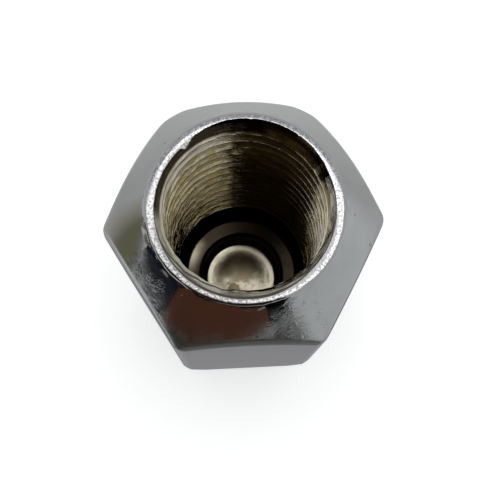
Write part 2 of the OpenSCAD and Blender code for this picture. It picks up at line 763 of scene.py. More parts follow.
    def cut(self, blank: Object, cutter: Object) -> None:
        """Cuts a shape out of a solid and removes the shape.

        Args:
            blank: The solid.
            cutter: The shape.
        """
        modifier = blank.modifiers.new("cut", "BOOLEAN")
        modifier.operation = "DIFFERENCE"
        modifier.solver = "EXACT"
        modifier.object = cutter
        evaluated = blank.evaluated_get(bpy.context.evaluated_depsgraph_get())
        mesh = bpy.data.meshes.new_from_object(evaluated)
        blank.modifiers.clear()
        blank.data = mesh
        bpy.data.objects.remove(cutter)

    def mark_edges(self, bm: BMesh) -> None:
        """Shades the faces smooth, apart from the sharp edges between them.

        Args:
            bm: The nut's mesh.
        """
        for face in bm.faces:
            face.smooth = True
        sharp = math.radians(self.sharp_angle)
        for edge in bm.edges:
            edge.smooth = edge.is_manifold and edge.calc_face_angle() < sharp
        LOG.info("open edges: %d", sum(not edge.is_manifold for edge in bm.edges))

    def finish_of(self, face: BMFace) -> Finish:
        """Which finish a face has.

        Args:
            face: A face of the nut.

        Returns:
            The finish.
        """
        sizes = self.sizes
        middle = face.calc_center_median()
        radius = middle.xy.length
        above_floor = middle.z > sizes.end_wall - self.sleeve_end
        if radius < sizes.thread_r + self.bore_margin and above_floor:
            burr = self.burr.at(angle_of(middle) % 360)
            on_face = middle.z > sizes.length - HAIR / 10 - burr
            outside = radius > sizes.bore_r + self.rim_start
            return Finish.RIM if on_face and outside else Finish.BORE
        on_top = middle.z > sizes.length - self.rim_share * sizes.rim_edge_r
        return Finish.RIM if on_top else Finish.PLATE

    def dress(self, materials: list[Material]) -> None:
        """Puts the finishes on and ties the piece to the frame.

        Args:
            materials: The finishes, in the order of Finish.
        """
        mesh = self.piece.data
        for material in materials:
            mesh.materials.append(material)
        bm = bmesh.new()
        bm.from_mesh(mesh)
        for face in bm.faces:
            face.material_index = self.finish_of(face).value
        bm.to_mesh(mesh)
        bm.free()
        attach(self.piece, "root")
        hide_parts("nut_body")


class NodeBench:
    """Lays out shader nodes in one tree and wires them together."""

    def __init__(self, tree: NodeTree) -> None:
        """Starts on a tree."""
        self.tree = tree

    def node(self, kind: str, **settings: object) -> Node:
        """Adds a node.

        Args:
            kind: Its type.
            settings: Properties to set on it.

        Returns:
            The node.
        """
        made = self.tree.nodes.new(kind)
        for key, value in settings.items():
            setattr(made, key, value)
        return made

    def plug(self, socket: NodeSocket, value: object) -> None:
        """Feeds a socket from another socket, or sets it to a value.

        Args:
            socket: The socket.
            value: Where its value comes from, or the value.
        """
        if isinstance(value, NodeSocket):
            self.tree.links.new(value, socket)
        else:
            socket.default_value = value

    def math(self, operation: str, *values: object) -> NodeSocket:
        """Works out a number from one, two or three others.

        Args:
            operation: What to work out.
            values: The numbers, or sockets that give them.

        Returns:
            The result.
        """
        made = self.node("ShaderNodeMath", operation=operation)
        for socket, value in zip(made.inputs, values):
            self.plug(socket, value)
        return made.outputs[0]

    def times(self, *values: object) -> NodeSocket:
        """Multiplies some numbers."""
        return reduce(partial(self.math, "MULTIPLY"), values)

    def times_plus(self, first: object, second: object, third: object) -> NodeSocket:
        """Multiplies two numbers and adds a third."""
        return self.math("MULTIPLY_ADD", first, second, third)

    def minus(self, first: object, second: object) -> NodeSocket:
        """Takes the second number from the first."""
        return self.math("SUBTRACT", first, second)

    def most(self, *values: object) -> NodeSocket:
        """The greatest of some numbers."""
        return reduce(partial(self.math, "MAXIMUM"), values)

    def vector(self, operation: str, *values: object) -> Node:
        """Works out a vector, or a number from vectors.

        Args:
            operation: What to work out.
            values: The vectors, or sockets that give them.

        Returns:
            The node, because its number and its vector are different outputs.
        """
        made = self.node("ShaderNodeVectorMath", operation=operation)
        for socket, value in zip(made.inputs, values):
            self.plug(socket, value)
        return made

    def level(self, vector: object) -> NodeSocket:
        """The part of a vector that lies level."""
        return self.vector("MULTIPLY", vector, (1.0, 1.0, 0.0)).outputs["Vector"]

    def length(self, vector: object) -> NodeSocket:
        """How long a vector is."""
        return self.vector("LENGTH", vector).outputs["Value"]

    def parts(self, vector: object) -> tuple[NodeSocket, NodeSocket, NodeSocket]:
        """Takes a vector apart.

        Args:
            vector: The vector.

        Returns:
            Its three numbers.
        """
        made = self.node("ShaderNodeSeparateXYZ")
        self.plug(made.inputs[0], vector)
        return made.outputs["X"], made.outputs["Y"], made.outputs["Z"]

    def ramp(
        self, value: object, low: object, high: object, start: object = 0.0, end: object = 1.0
    ) -> NodeSocket:
        """Turns one range of a number smoothly into another.

        Args:
            value: The number.
            low: Where the range begins.
            high: Where it ends.
            start: What the beginning becomes.
            end: What the end becomes.

        Returns:
            The result.
        """
        made = self.node("ShaderNodeMapRange", interpolation_type="SMOOTHSTEP")
        for socket, given in zip(made.inputs, (value, low, high, start, end)):
            self.plug(socket, given)
        return made.outputs[0]

    def blend(self, share: object, first: object, second: object) -> NodeSocket:
        """Mixes two colours.

        Args:
            share: How much of the second.
            first: The first colour.
            second: The second colour.

        Returns:
            The mixed colour.
        """
        made = self.node("ShaderNodeMix", data_type="RGBA")
        self.plug(made.inputs[0], share)
        for socket, colour in zip(made.inputs[6:8], (first, second)):
            self.plug(socket, (*colour, 1) if isinstance(colour, tuple) else colour)
        return made.outputs[2]

    def mix(self, share: object, first: NodeSocket, second: NodeSocket) -> NodeSocket:
        """Mixes two shaders.

        Args:
            share: How much of the second.
            first: The first shader.
            second: The second shader.

        Returns:
            The mixed shader.
        """
        made = self.node("ShaderNodeMixShader")
        for socket, given in zip(made.inputs, (share, first, second)):
            self.plug(socket, given)
        return made.outputs[0]

    def surface(self, shader: NodeSocket) -> None:
        """Shows a shader on the surface.

        Args:
            shader: The shader.
        """
        ends = ("OUTPUT_MATERIAL", "OUTPUT_WORLD")
        end = next(node for node in self.tree.nodes if node.type in ends)
        self.plug(end.inputs["Surface"], shader)

    def noise(
        self, vector: object, scale: object, detail: float = 3.0, roughness: float = 0.55
    ) -> NodeSocket:
        """Soft noise from 0 to 1.

        Args:
            vector: Where it is read.
            scale: How fine it is.
            detail: How many finer layers it has.
            roughness: How strong those are.

        Returns:
            The noise.
        """
        made = self.node("ShaderNodeTexNoise")
        names = ("Vector", "Scale", "Detail", "Roughness")
        for name, given in zip(names, (vector, scale, detail, roughness)):
            self.plug(made.inputs[name], given)
        return made.outputs[0]

    def drift(self, vector: object, scale: object) -> NodeSocket:
        """Soft noise in three directions.

        Args:
            vector: Where it is read.
            scale: How fine it is.

        Returns:
            Three noises from 0 to 1, as a colour.
        """
        made = self.node("ShaderNodeTexNoise")
        self.plug(made.inputs["Vector"], vector)
        self.plug(made.inputs["Scale"], scale)
        return made.outputs["Color"]

    def group(self, tree: NodeTree, **values: object) -> Node:
        """Places a shared effect.

        Args:
            tree: The effect.
            values: What its inputs are fed with.

        Returns:
            The node.
        """
        made = self.node("ShaderNodeGroup", node_tree=tree)
        for name, value in values.items():
            self.plug(made.inputs[name], value)
        return made


class EffectBench(NodeBench):
    """A bench for a shared effect, with named inputs and outputs."""

    def __init__(
        self, name: str, inputs: dict[str, float | None], outputs: tuple[str, ...]
    ) -> None:
        """Makes the effect's tree.

        Args:
            name: Its name.
            inputs: Its inputs with their usual values, None for a vector.
            outputs: The numbers that it gives out.
        """
        super().__init__(bpy.data.node_groups.new(name, "ShaderNodeTree"))
        for title, usual in inputs.items():
            kind = "NodeSocketVector" if usual is None else "NodeSocketFloat"
            socket = self.tree.interface.new_socket(title, in_out="INPUT", socket_type=kind)
            if usual is not None:
                socket.default_value = usual
        for title in outputs:
            self.tree.interface.new_socket(title, in_out="OUTPUT", socket_type="NodeSocketFloat")
        self.given = self.node("NodeGroupInput").outputs
        self.taken = self.node("NodeGroupOutput").inputs


class SharedEffects:
    """The effects that the finishes share, each built once. Lengths in them are in millimetres."""

    def __init__(self) -> None:
        """Builds them."""
        self.streaks = self.build_streaks()
        self.pitting = self.build_pitting()
        self.patch = self.build_patch()
        self.grime = self.build_grime()

    def build_streaks(self) -> NodeTree:
        """Marks that run round the axis, or across it, as a lathe or a wheel leaves them.

        Returns:
            The effect.
        """
        inputs = {"Vector": None, "Around": 10.0, "Across": 4.0}
        bench = EffectBench("streaks", inputs, ("Height",))
        flat = bench.level(bench.given["Vector"])
        up = bench.parts(bench.given["Vector"])[2]
        turned = bench.vector("NORMALIZE", flat).outputs["Vector"]
        spread = bench.vector("SCALE", turned)
        bench.plug(spread.inputs["Scale"], bench.given["Around"])
        sloped = bench.times_plus(bench.length(flat), 0.7, up)
        lift = bench.node("ShaderNodeCombineXYZ")
        bench.plug(lift.inputs["Z"], bench.times(sloped, bench.given["Across"]))
        place = bench.vector("ADD", spread.outputs["Vector"], lift.outputs[0]).outputs["Vector"]
        height = bench.noise(place, scale=1.0, detail=3.0, roughness=0.6)
        bench.plug(bench.taken["Height"], height)
        return bench.tree

    def build_pitting(self) -> NodeTree:
        """Small round pits, here and there.

        Returns:
            The effect.
        """
        inputs = {"Vector": None, "Scale": 2.0, "Share": 0.3, "Size": 0.2}
        bench = EffectBench("pitting", inputs, ("Mask", "Height"))
        shift = bench.vector("SCALE", bench.drift(bench.given["Vector"], scale=3.0))
        bench.plug(shift.inputs["Scale"], 0.12)
        place = bench.vector("ADD", bench.given["Vector"], shift.outputs["Vector"])
        cells = bench.node("ShaderNodeTexVoronoi")
        bench.plug(cells.inputs["Vector"], place.outputs["Vector"])
        bench.plug(cells.inputs["Scale"], bench.given["Scale"])
        chance = bench.node("ShaderNodeSeparateColor")
        bench.plug(chance.inputs[0], cells.outputs["Color"])
        chosen = bench.math("LESS_THAN", chance.outputs[0], bench.given["Share"])
        varied = bench.times_plus(chance.outputs[1], 0.7, 0.3)
        size = bench.times(bench.given["Size"], varied)
        pit = bench.ramp(cells.outputs["Distance"], bench.times(size, 0.55), size, 1.0, 0.0)
        mask = bench.times(pit, chosen)
        bench.plug(bench.taken["Mask"], mask)
        bench.plug(bench.taken["Height"], bench.times(mask, -1.0))
        return bench.tree

    def build_patch(self) -> NodeTree:
        """A patch with a ragged edge round one place.

        Returns:
            The effect.
        """
        inputs = {"Vector": None, "Centre": None, "Reach": 1.0, "Edge": 0.5, "Raggedness": 0.5}
        bench = EffectBench("patch", inputs, ("Mask",))
        away = bench.vector("DISTANCE", bench.given["Vector"], bench.given["Centre"])
        uneven = bench.noise(bench.given["Vector"], scale=1.6, detail=4.0, roughness=0.65)
        ragged = bench.minus(uneven, 0.5)
        away = bench.times_plus(ragged, bench.given["Raggedness"], away.outputs["Value"])
        inner = bench.minus(bench.given["Reach"], bench.given["Edge"])
        bench.plug(bench.taken["Mask"], bench.ramp(away, inner, bench.given["Reach"], 1.0, 0.0))
        return bench.tree

    def build_grime(self) -> NodeTree:
        """Cloudy grime and dull places.

        Returns:
            The effect.
        """
        inputs = {"Vector": None, "Scale": 0.6, "Share": 0.5, "Edge": 0.15}
        bench = EffectBench("grime", inputs, ("Mask",))
        scale = bench.given["Scale"]
        clouds = bench.noise(bench.given["Vector"], scale, detail=5.0, roughness=0.62)
        level = bench.minus(1.0, bench.given["Share"])
        low = bench.minus(level, bench.given["Edge"])
        high = bench.math("ADD", level, bench.given["Edge"])
        bench.plug(bench.taken["Mask"], bench.ramp(clouds, low, high))
        return bench.tree


@dataclass(frozen=True)
class Spot:
    """A ragged round place on the piece, in millimetres, and how strong it is."""

    centre: Place
    reach: float
    edge: float = 0.07
    strength: float = 1.0


class MetalBench(NodeBench):
    """A bench for one bare metal. It knows where a point lies on the piece, in millimetres."""

    def __init__(self, name: str, effects: SharedEffects) -> None:
        """Makes the material.

        Args:
            name: Its name.
            effects: The shared effects.
        """
        self.material = bpy.data.materials.new(name)
        self.material.use_nodes = True
        super().__init__(self.material.node_tree)
        self.effects = effects
        self.shader = self.tree.nodes["Principled BSDF"]
        self.shader.inputs["Metallic"].default_value = 1.0
        scaled = self.node("ShaderNodeMapping")
        scaled.inputs["Scale"].default_value = (1 / MM, 1 / MM, 1 / MM)
        self.plug(scaled.inputs["Vector"], self.node("ShaderNodeTexCoord").outputs["Object"])
        self.place = scaled.outputs["Vector"]

    @cached_property
    def radius(self) -> NodeSocket:
        """Distance from the axis."""
        return self.length(self.level(self.place))

    @cached_property
    def axes(self) -> tuple[NodeSocket, NodeSocket, NodeSocket]:
        """The place as three numbers."""
        return self.parts(self.place)

    @property
    def x(self) -> NodeSocket:
        """Place from left to right."""
        return self.axes[0]

    @property
    def y(self) -> NodeSocket:
        """Place from front to back."""
        return self.axes[1]

    @property
    def z(self) -> NodeSocket:
        """Height over the tip."""
        return self.axes[2]

    def streaks(self, around: float, across: float) -> NodeSocket:
        """Places the marks that run round the axis.

        Args:
            around: How fine they are along their way.
            across: How fine they are across it.

        Returns:
            Their height, from 0 to 1.
        """
        made = self.group(self.effects.streaks, Vector=self.place, Around=around, Across=across)
        return made.outputs["Height"]

    def pits(self, scale: float, share: float, size: float) -> NodeOutputs:
        """Places the pits.

        Args:
            scale: How close together they may lie.
            share: How many of those places have one.
            size: How wide they are.

        Returns:
            Their Mask and their Height.
        """
        pitting = self.effects.pitting
        return self.group(pitting, Vector=self.place, Scale=scale, Share=share, Size=size).outputs

    def grime(self, scale: float, share: float, edge: float) -> NodeSocket:
        """Places the cloudy grime.

        Args:
            scale: How fine it is.
            share: How much of the surface it covers.
            edge: How soft its edges are.

        Returns:
            1 where it lies.
        """
        made = self.group(self.effects.grime, Vector=self.place, Scale=scale, Share=share, Edge=edge)
        return made.outputs["Mask"]

    def spot(self, spot: Spot, raggedness: float) -> NodeSocket:
        """Places one spot.

        Args:
            spot: The spot.
            raggedness: How ragged its edge is, in millimetres.

        Returns:
            The spot's strength inside it, 0 outside it.
        """
        made = self.group(
            self.effects.patch,
            Vector=self.place,
            Centre=spot.centre,
            Reach=spot.reach,
            Edge=spot.edge,
            Raggedness=raggedness,
        )
        return self.times(made.outputs["Mask"], spot.strength)

    def spots(self, spots: tuple[Spot, ...], raggedness: float) -> NodeSocket:
        """Places some spots; where they overlap, the strongest counts."""
        return self.most(*(self.spot(spot, raggedness) for spot in spots))

    def finish(self, colour: NodeSocket, roughness: NodeSocket, relief: NodeSocket) -> Material:
        """Gives the metal its look.

        Args:
            colour: Its colour.
            roughness: Its roughness.
            relief: Its relief, in millimetres.

        Returns:
            The material.
        """
        bump = self.node("ShaderNodeBump")
        bump.inputs["Distance"].default_value = MM
        self.plug(bump.inputs["Height"], relief)
        self.plug(self.shader.inputs["Base Color"], colour)
        self.plug(self.shader.inputs["Roughness"], roughness)
        self.plug(self.shader.inputs["Normal"], bump.outputs["Normal"])
        return self.material


@dataclass(frozen=True, kw_only=True)
class Metal(ABC):
    """What the three finishes share."""

    name: str
    base: Colour
    roughness: float

    @abstractmethod
    def build(self, effects: SharedEffects) -> Material:
        """Makes the material.

        Args:
            effects: The shared effects.

        Returns:
            The material.
        """


@dataclass(frozen=True, kw_only=True)
class WornChrome(Metal):
    """Bright plating: clouded, pitted here and there, and crinkled in a few places below the rim."""

    name: str = "worn_chrome"
    base: Colour = (0.29, 0.3, 0.3)
    roughness: float = 0.05
    cloud: Colour = (0.245, 0.25, 0.255)
    pit: Colour = (0.05, 0.05, 0.055)
    crinkled: tuple[Spot, ...] = (
        Spot((-7.6, -3.4, 22.6), 1.4, 1.0, 0.9),
        Spot((-6.9, -5.2, 22.2), 1.4, 1.0, 0.9),
        Spot((-5.9, -6.6, 21.9), 1.3, 0.9, 0.9),
        Spot((-6.4, -4.2, 23.3), 2.2, 1.4, 0.3),
        Spot((-3.3, -7.9, 22.2), 1.8, 0.9, 0.6),
        Spot((3.5, -7.2, 23.0), 2.9, 1.9, 1.1),
    )
    small_marks: tuple[Spot, ...] = (
        Spot((-5.02, 4.78, 24.26), 0.14),
        Spot((8.35, 2.44, 21.99), 0.15),
        Spot((8.24, -2.2, 22.22), 0.13),
        Spot((7.08, -0.61, 24.03), 0.1),
        Spot((1.97, 6.59, 24.33), 0.1),
        Spot((2.15, 6.4, 24.47), 0.1),
        Spot((2.36, 6.22, 24.6), 0.1),
        Spot((0.37, -8.05, 22.82), 0.12),
    )

    def build(self, effects: SharedEffects) -> Material:
        """Makes the material.

        Args:
            effects: The shared effects.

        Returns:
            The material.
        """
        bench = MetalBench(self.name, effects)
        rough = bench.spots(self.crinkled, raggedness=1.6)
        clouds = bench.grime(scale=0.32, share=0.5, edge=0.2)
        pits = bench.pits(scale=0.95, share=0.12, size=0.11)
        specks = bench.times(bench.pits(scale=3.4, share=0.3, size=0.2)["Mask"], rough)
        marks = bench.times(bench.spots(self.small_marks, raggedness=0.15), 0.75)
        dark = bench.most(bench.times(pits["Mask"], 0.8), bench.times(specks, 0.5), marks)
        tone = bench.blend(bench.times(clouds, 0.6), self.base, self.cloud)
        dull = bench.times_plus(clouds, 0.04, self.roughness)
        relief = bench.times(self.folds(bench), bench.times_plus(rough, 1.0, 0.02))
        return bench.finish(
            colour=bench.blend(dark, tone, self.pit),
            roughness=bench.times_plus(rough, 0.03, dull),
            relief=bench.times_plus(pits["Height"], 0.02, relief),
        )

    def folds(self, bench: MetalBench) -> NodeSocket:
        """The fine folds of crinkled plating.

        Args:
            bench: Where the nodes go.

        Returns:
            Their height, in millimetres.
        """
        marks = bench.streaks(around=24.0, across=6.5)
        fine = bench.streaks(around=60.0, across=14.0)
        crease = bench.math("ABSOLUTE", bench.minus(marks, 0.5))
        clouds = bench.noise(bench.place, scale=0.75, detail=2.0, roughness=0.6)
        folded = bench.ramp(clouds, 0.5, 0.6, end=0.006)
        worn = bench.times_plus(bench.ramp(crease, 0.0, 0.09), folded, bench.times(marks, 0.006))
        return bench.times_plus(fine, 0.002, worn)


@dataclass(frozen=True, kw_only=True)
class RimSteel(Metal):
    """The mouth rim: finely ground, with a painted highlight on its outer edge in front and on its inner
    edge behind, and painted shade on its back half.
    """

    name: str = "rim_steel"
    # The base colour is the painted highlight; the dull colour is painted shade on the rim's back half.
    base: Colour = (0.8, 0.8, 0.79)
    roughness: float = 0.28
    plain: Colour = (0.38, 0.38, 0.36)
    dull: Colour = (0.14, 0.14, 0.145)
    stroke: Colour = (0.27, 0.26, 0.3)
    middle_r: float = 6.06

    def build(self, effects: SharedEffects) -> Material:
        """Makes the material.

        Args:
            effects: The shared effects.

        Returns:
            The material.
        """
        bench = MetalBench(self.name, effects)
        strokes = bench.streaks(around=55.0, across=6.0)
        grain = bench.noise(bench.place, scale=6.0, detail=2.0, roughness=0.6)
        pits = bench.pits(scale=2.4, share=0.2, size=0.14)
        # Painted shade darkens the rim's back half; the painted highlight band takes the base colour.
        tone = bench.blend(bench.ramp(bench.y, 1.5, -3.0), self.dull, self.plain)
        tone = bench.blend(self.painted_highlight(bench, grain), tone, self.base)
        ground = bench.times(bench.ramp(strokes, 0.48, 0.36), 0.5)
        ground = bench.most(ground, bench.times(bench.ramp(grain, 0.52, 0.42), 0.85))
        tone = bench.blend(ground, tone, self.stroke)
        relief = bench.times_plus(strokes, 0.015, bench.times(grain, 0.02))
        return bench.finish(
            colour=bench.blend(bench.times(pits["Mask"], 0.6), tone, self.stroke),
            roughness=bench.times_plus(grain, 0.2, self.roughness),
            relief=bench.times_plus(pits["Height"], 0.02, relief),
        )

    def painted_highlight(self, bench: MetalBench, grain: NodeSocket) -> NodeSocket:
        """Where the rim gets its painted highlight.

        Args:
            bench: Where the nodes go.
            grain: Grain that frays the painted highlight's edge.

        Returns:
            1 where the painted highlight lies.
        """
        out = bench.minus(bench.radius, self.middle_r)
        frayed = bench.times_plus(bench.minus(grain, 0.5), 0.35, out)
        forward = bench.times(bench.y, -1.0 / self.middle_r)
        level = bench.times_plus(bench.math("ABSOLUTE", forward), 0.06, -0.06)
        return bench.ramp(bench.minus(bench.times(frayed, forward), level), 0.0, 0.06)


class BoreBench(MetalBench):
    """A bench for the bore's metal. It knows the bore's sizes in millimetres and its two streaks."""

    def __init__(self, name: str, effects: SharedEffects, sizes: NutSizes) -> None:
        """Makes the material.

        Args:
            name: Its name.
            effects: The shared effects.
            sizes: Sizes of the nut.
        """
        super().__init__(name, effects)
        self.bore_r = sizes.bore_r / MM
        self.mouth = sizes.length / MM
        self.floor_z = sizes.end_wall / MM
        self.well_r = (sizes.bore_r - sizes.ledge_w - sizes.step_w) / MM
        self.marks = self.streaks(around=4.0, across=3.4)
        self.fine = self.streaks(around=10.0, across=11.0)
        foot = (sizes.end_wall + sizes.well_depth) / MM
        self.low = self.math("LESS_THAN", self.z, foot + 0.05)


@dataclass(frozen=True, kw_only=True)
class BoreSteel(Metal):
    """The bore: thin, dull olive plating, darker in the roots of the thread from dirt and painted shade,
    and below it from painted shade.
    """

    sizes: NutSizes
    name: str = "bore_steel"
    base: Colour = (0.38, 0.335, 0.22)
    roughness: float = 0.08
    streak: Colour = (0.19, 0.15, 0.075)
    # Darker colour further down the bore: painted shade.
    below: Colour = (0.125, 0.1, 0.045)
    rust: Colour = (0.5, 0.38, 0.18)
    # Near-black: real dirt in fine streaks, and painted shade in the bore.
    dirt_and_shade: Colour = (0.018, 0.012, 0.007)
    # Pale colour of the bevel, also used as painted light on the wall near the mouth.
    bevel: Colour = (0.4, 0.39, 0.33)
    # Pale colour of bare crests, also a painted highlight.
    bare_crest_and_highlight: Colour = (0.6, 0.57, 0.5)
    floor: Colour = (0.37, 0.335, 0.25)
    # Lit colour on one side of the step: painted highlight.
    step: Colour = (0.27, 0.245, 0.175)
    # Paler ring at the floor's edge: painted highlight.
    lip: Colour = (0.42, 0.39, 0.3)
    # Stain colour, also painted shade on the floor's middle.
    stain_and_shade: Colour = (0.13, 0.105, 0.06)
    # Near-black on the rest of the step, and dark brown on the well's side: painted shade.
    step_shade: Colour = (0.024, 0.018, 0.011)
    well_shade: Colour = (0.12, 0.085, 0.05)
    # Where the step keeps its lit colour, and the floor's stains, which also paint shade.
    step_highlight: Spot = Spot((-4.3, 1.9, 5.4), 2.0, 1.9)
    floor_stains_and_shade: tuple[Spot, ...] = (
        Spot((0.0, 1.15, 3.4), 1.75, 0.5, 0.75),
        Spot((1.0, 0.9, 3.4), 1.35, 0.4, 0.4),
        Spot((-0.66, -0.95, 3.4), 0.6, 0.15, 1.0),
        Spot((-1.7, 0.8, 3.4), 1.0, 0.5, 0.6),
        Spot((-2.3, -0.2, 3.4), 0.7, 0.4, 0.35),
    )

    def build(self, effects: SharedEffects) -> Material:
        """Makes the material.

        Args:
            effects: The shared effects.

        Returns:
            The material.
        """
        bench = BoreBench(self.name, effects, self.sizes)
        groove = self.open_groove(bench)
        # The open groove: rust-coloured in its middle, painted shade at its ends.
        ends = bench.most(bench.ramp(bench.x, 2.2, 1.3), bench.ramp(bench.x, 4.2, 4.9))
        rusty = bench.times(groove, bench.minus(1.0, ends))
        tone = bench.blend(rusty, self.wall_tone(bench), self.rust)
        # Dirt and painted shade on the wall, painted shade at the open groove's ends, and the dark rings
        # at the bevel's edges.
        dirt_and_shade = bench.most(self.wall_dirt_and_shade(bench), bench.times(groove, ends), self.bevel_lines(bench))
        tone = bench.blend(dirt_and_shade, tone, self.dirt_and_shade)
        tone = bench.blend(bench.low, tone, self.floor_tone(bench))
        # Bare crests, paler as a painted highlight.
        bare_crest_and_highlight = self.bare_and_highlit_crests(bench)
        dull = bench.times_plus(bench.grime(scale=0.9, share=0.42, edge=0.1), 0.05, self.roughness)
        dull = bench.times_plus(bench.low, 0.12, dull)
        worn = bench.times_plus(bench.fine, 0.012, bench.times(bench.marks, 0.03))
        return bench.finish(
            colour=bench.blend(bare_crest_and_highlight, tone, self.bare_crest_and_highlight),
            roughness=bench.times_plus(bare_crest_and_highlight, 0.25, dull),
            relief=bench.times(worn, bench.times_plus(bench.low, -0.9, 1.0)),
        )

    def wall_tone(self, bench: BoreBench) -> NodeSocket:
        """The wall: streaked, darker downwards as painted shade, and brighter at the mouth on one side as
        painted light.

        Args:
            bench: Where the nodes go.

        Returns:
            The colour.
        """
        tone = bench.blend(bench.ramp(bench.marks, 0.4, 0.6), self.streak, self.base)
        tone = bench.blend(bench.times(bench.ramp(bench.fine, 0.44, 0.3), 0.8), tone, self.dirt_and_shade)
        # Painted shade: darker further down the bore.
        tone = bench.blend(bench.ramp(bench.z, 23.5, 9.5, end=0.8), tone, self.below)
        # Painted light: brighter at the mouth on one side, in the bevel's pale colour.
        frayed = bench.times_plus(bench.marks, 3.0, bench.z)
        painted_light_end = bench.times(
            bench.ramp(frayed, 22.6, 24.6, end=0.6),
            bench.ramp(bench.x, 0.5, -2.5),
        )
        tone = bench.blend(painted_light_end, tone, self.bevel)
        bevel = bench.ramp(bench.z, bench.mouth - 0.52, bench.mouth - 0.46)
        return bench.blend(bench.times(bevel, 0.8), tone, self.bevel)

    def wall_dirt_and_shade(self, bench: BoreBench) -> NodeSocket:
        """Darkening in the roots of the thread from dirt and painted shade, and deep down and along one
        side as painted shade.

        Args:
            bench: Where the nodes go.

        Returns:
            1 where it is darkest.
        """
        frayed = bench.times_plus(bench.marks, 0.16, bench.radius)
        # Roots of the thread: dirt and painted shade.
        root = bench.times(
            bench.ramp(frayed, bench.bore_r + 0.2, bench.bore_r + 0.36),
            bench.times_plus(bench.ramp(bench.marks, 0.38, 0.62), 0.5, 0.15),
        )
        # Deep down: painted shade.
        deep = bench.ramp(bench.times_plus(bench.marks, 0.9, bench.z), 5.8, 9.8, 1.0, 0.0)
        # Along one side behind, fading out towards the mouth: painted shade.
        aside = bench.times(
            bench.ramp(bench.times_plus(bench.fine, 0.5, bench.x), -0.8, -0.1),
            bench.ramp(bench.y, 1.6, 3.4),
            bench.ramp(bench.times_plus(bench.marks, 4.0, bench.z), 18.0, 24.5, 0.75, 0.0),
        )
        return bench.most(root, bench.times(deep, 0.8), aside)

    def open_groove(self, bench: BoreBench) -> NodeSocket:
        """The groove that lies open where the thin ridge over it has broken off, rust-coloured in its
        middle and painted shade at its ends.

        Args:
            bench: Where the nodes go.

        Returns:
            1 in that groove.
        """
        bevel = bench.mouth - bench.bore_r
        return bench.times(
            bench.ramp(bench.z, bench.mouth - 1.3, bench.mouth - 1.05),
            bench.ramp(bench.radius, bench.bore_r + 0.1, bench.bore_r + 0.22),
            bench.ramp(bench.y, -1.5, 0.5),
            bench.ramp(bench.minus(bench.z, bench.radius), bevel - 0.56, bevel - 0.62),
            bench.ramp(bench.marks, 0.75, 0.5, 0.9, 0.985),
        )

    def bevel_lines(self, bench: BoreBench) -> NodeSocket:
        """The fine dark rings at both edges of the bevel inside the mouth.

        Args:
            bench: Where the nodes go.

        Returns:
            1 in the rings.
        """
        frayed = bench.times_plus(bench.marks, 0.06, bench.radius)
        upper = bench.ramp(frayed, bench.bore_r + 0.47, bench.bore_r + 0.51)
        edge = bench.times_plus(bench.marks, 0.16, bench.mouth - 0.5)
        off_edge = bench.math("ABSOLUTE", bench.minus(bench.z, edge))
        lower = bench.ramp(off_edge, 0.02, 0.06, 1.0, 0.0)
        return bench.times(bench.most(upper, lower), 0.85)

    def bare_and_highlit_crests(self, bench: BoreBench) -> NodeSocket:
        """Crests that are worn bare and paler as a painted highlight: near the mouth, and along one side.

        Args:
            bench: Where the nodes go.

        Returns:
            1 where they are bare and carry the painted highlight.
        """
        frayed = bench.times_plus(bench.fine, 0.05, bench.radius)
        near_mouth = bench.times(
            bench.ramp(frayed, bench.bore_r + 0.05, bench.bore_r + 0.09, 1.0, 0.0),
            bench.ramp(bench.times_plus(bench.marks, 2.0, bench.z), 22.2, 23.2),
            bench.ramp(bench.x, -3.0, -2.0),
            bench.ramp(bench.fine, 0.4, 0.5, 0.3, 1.0),
        )
        along_side = bench.times(
            bench.ramp(bench.x, 3.0, 4.2),
            bench.ramp(bench.z, 12.0, 17.0),
            bench.ramp(bench.radius, bench.bore_r + 0.12, bench.bore_r + 0.05, end=0.7),
        )
        return bench.most(near_mouth, along_side)

    def floor_tone(self, bench: BoreBench) -> NodeSocket:
        """The bore's floor: specked metal with stains in the middle that also paint shade, a paler edge
        ring as a painted highlight, painted shade on the step but for a painted highlight on one side,
        and painted shade on the well's side.

        Args:
            bench: Where the nodes go.

        Returns:
            The colour.
        """
        specks = bench.grime(scale=1.7, share=0.42, edge=0.12)
        tone = bench.blend(bench.times(specks, 0.7), self.floor, self.stain_and_shade)
        # Stains, which also paint shade on the floor's middle and back.
        for stain_and_shade in self.floor_stains_and_shade:
            tone = bench.blend(bench.spot(stain_and_shade, raggedness=0.6), tone, self.stain_and_shade)
        # Painted highlight: a paler ring at the floor's edge.
        tone = bench.blend(bench.ramp(bench.radius, 2.5, 2.7), tone, self.lip)
        # The step: painted shade, but for a painted highlight on one side.
        outer = bench.ramp(bench.radius, 3.7, 4.5, 0.1, 0.9)
        step_lit = bench.times(bench.spot(self.step_highlight, raggedness=0.4), outer)
        step = bench.blend(step_lit, self.step_shade, self.step)
        on_step = bench.ramp(bench.z, bench.floor_z + 1.5, bench.floor_z + 1.7)
        tone = bench.blend(on_step, tone, step)
        # The well's side: painted shade.
        on_side = bench.times(
            bench.ramp(bench.radius, bench.well_r - 0.5, bench.well_r - 0.38),
            bench.ramp(bench.radius, bench.well_r + 0.02, bench.well_r + 0.12, 1.0, 0.0),
            0.8,
        )
        return bench.blend(on_side, tone, self.well_shade)


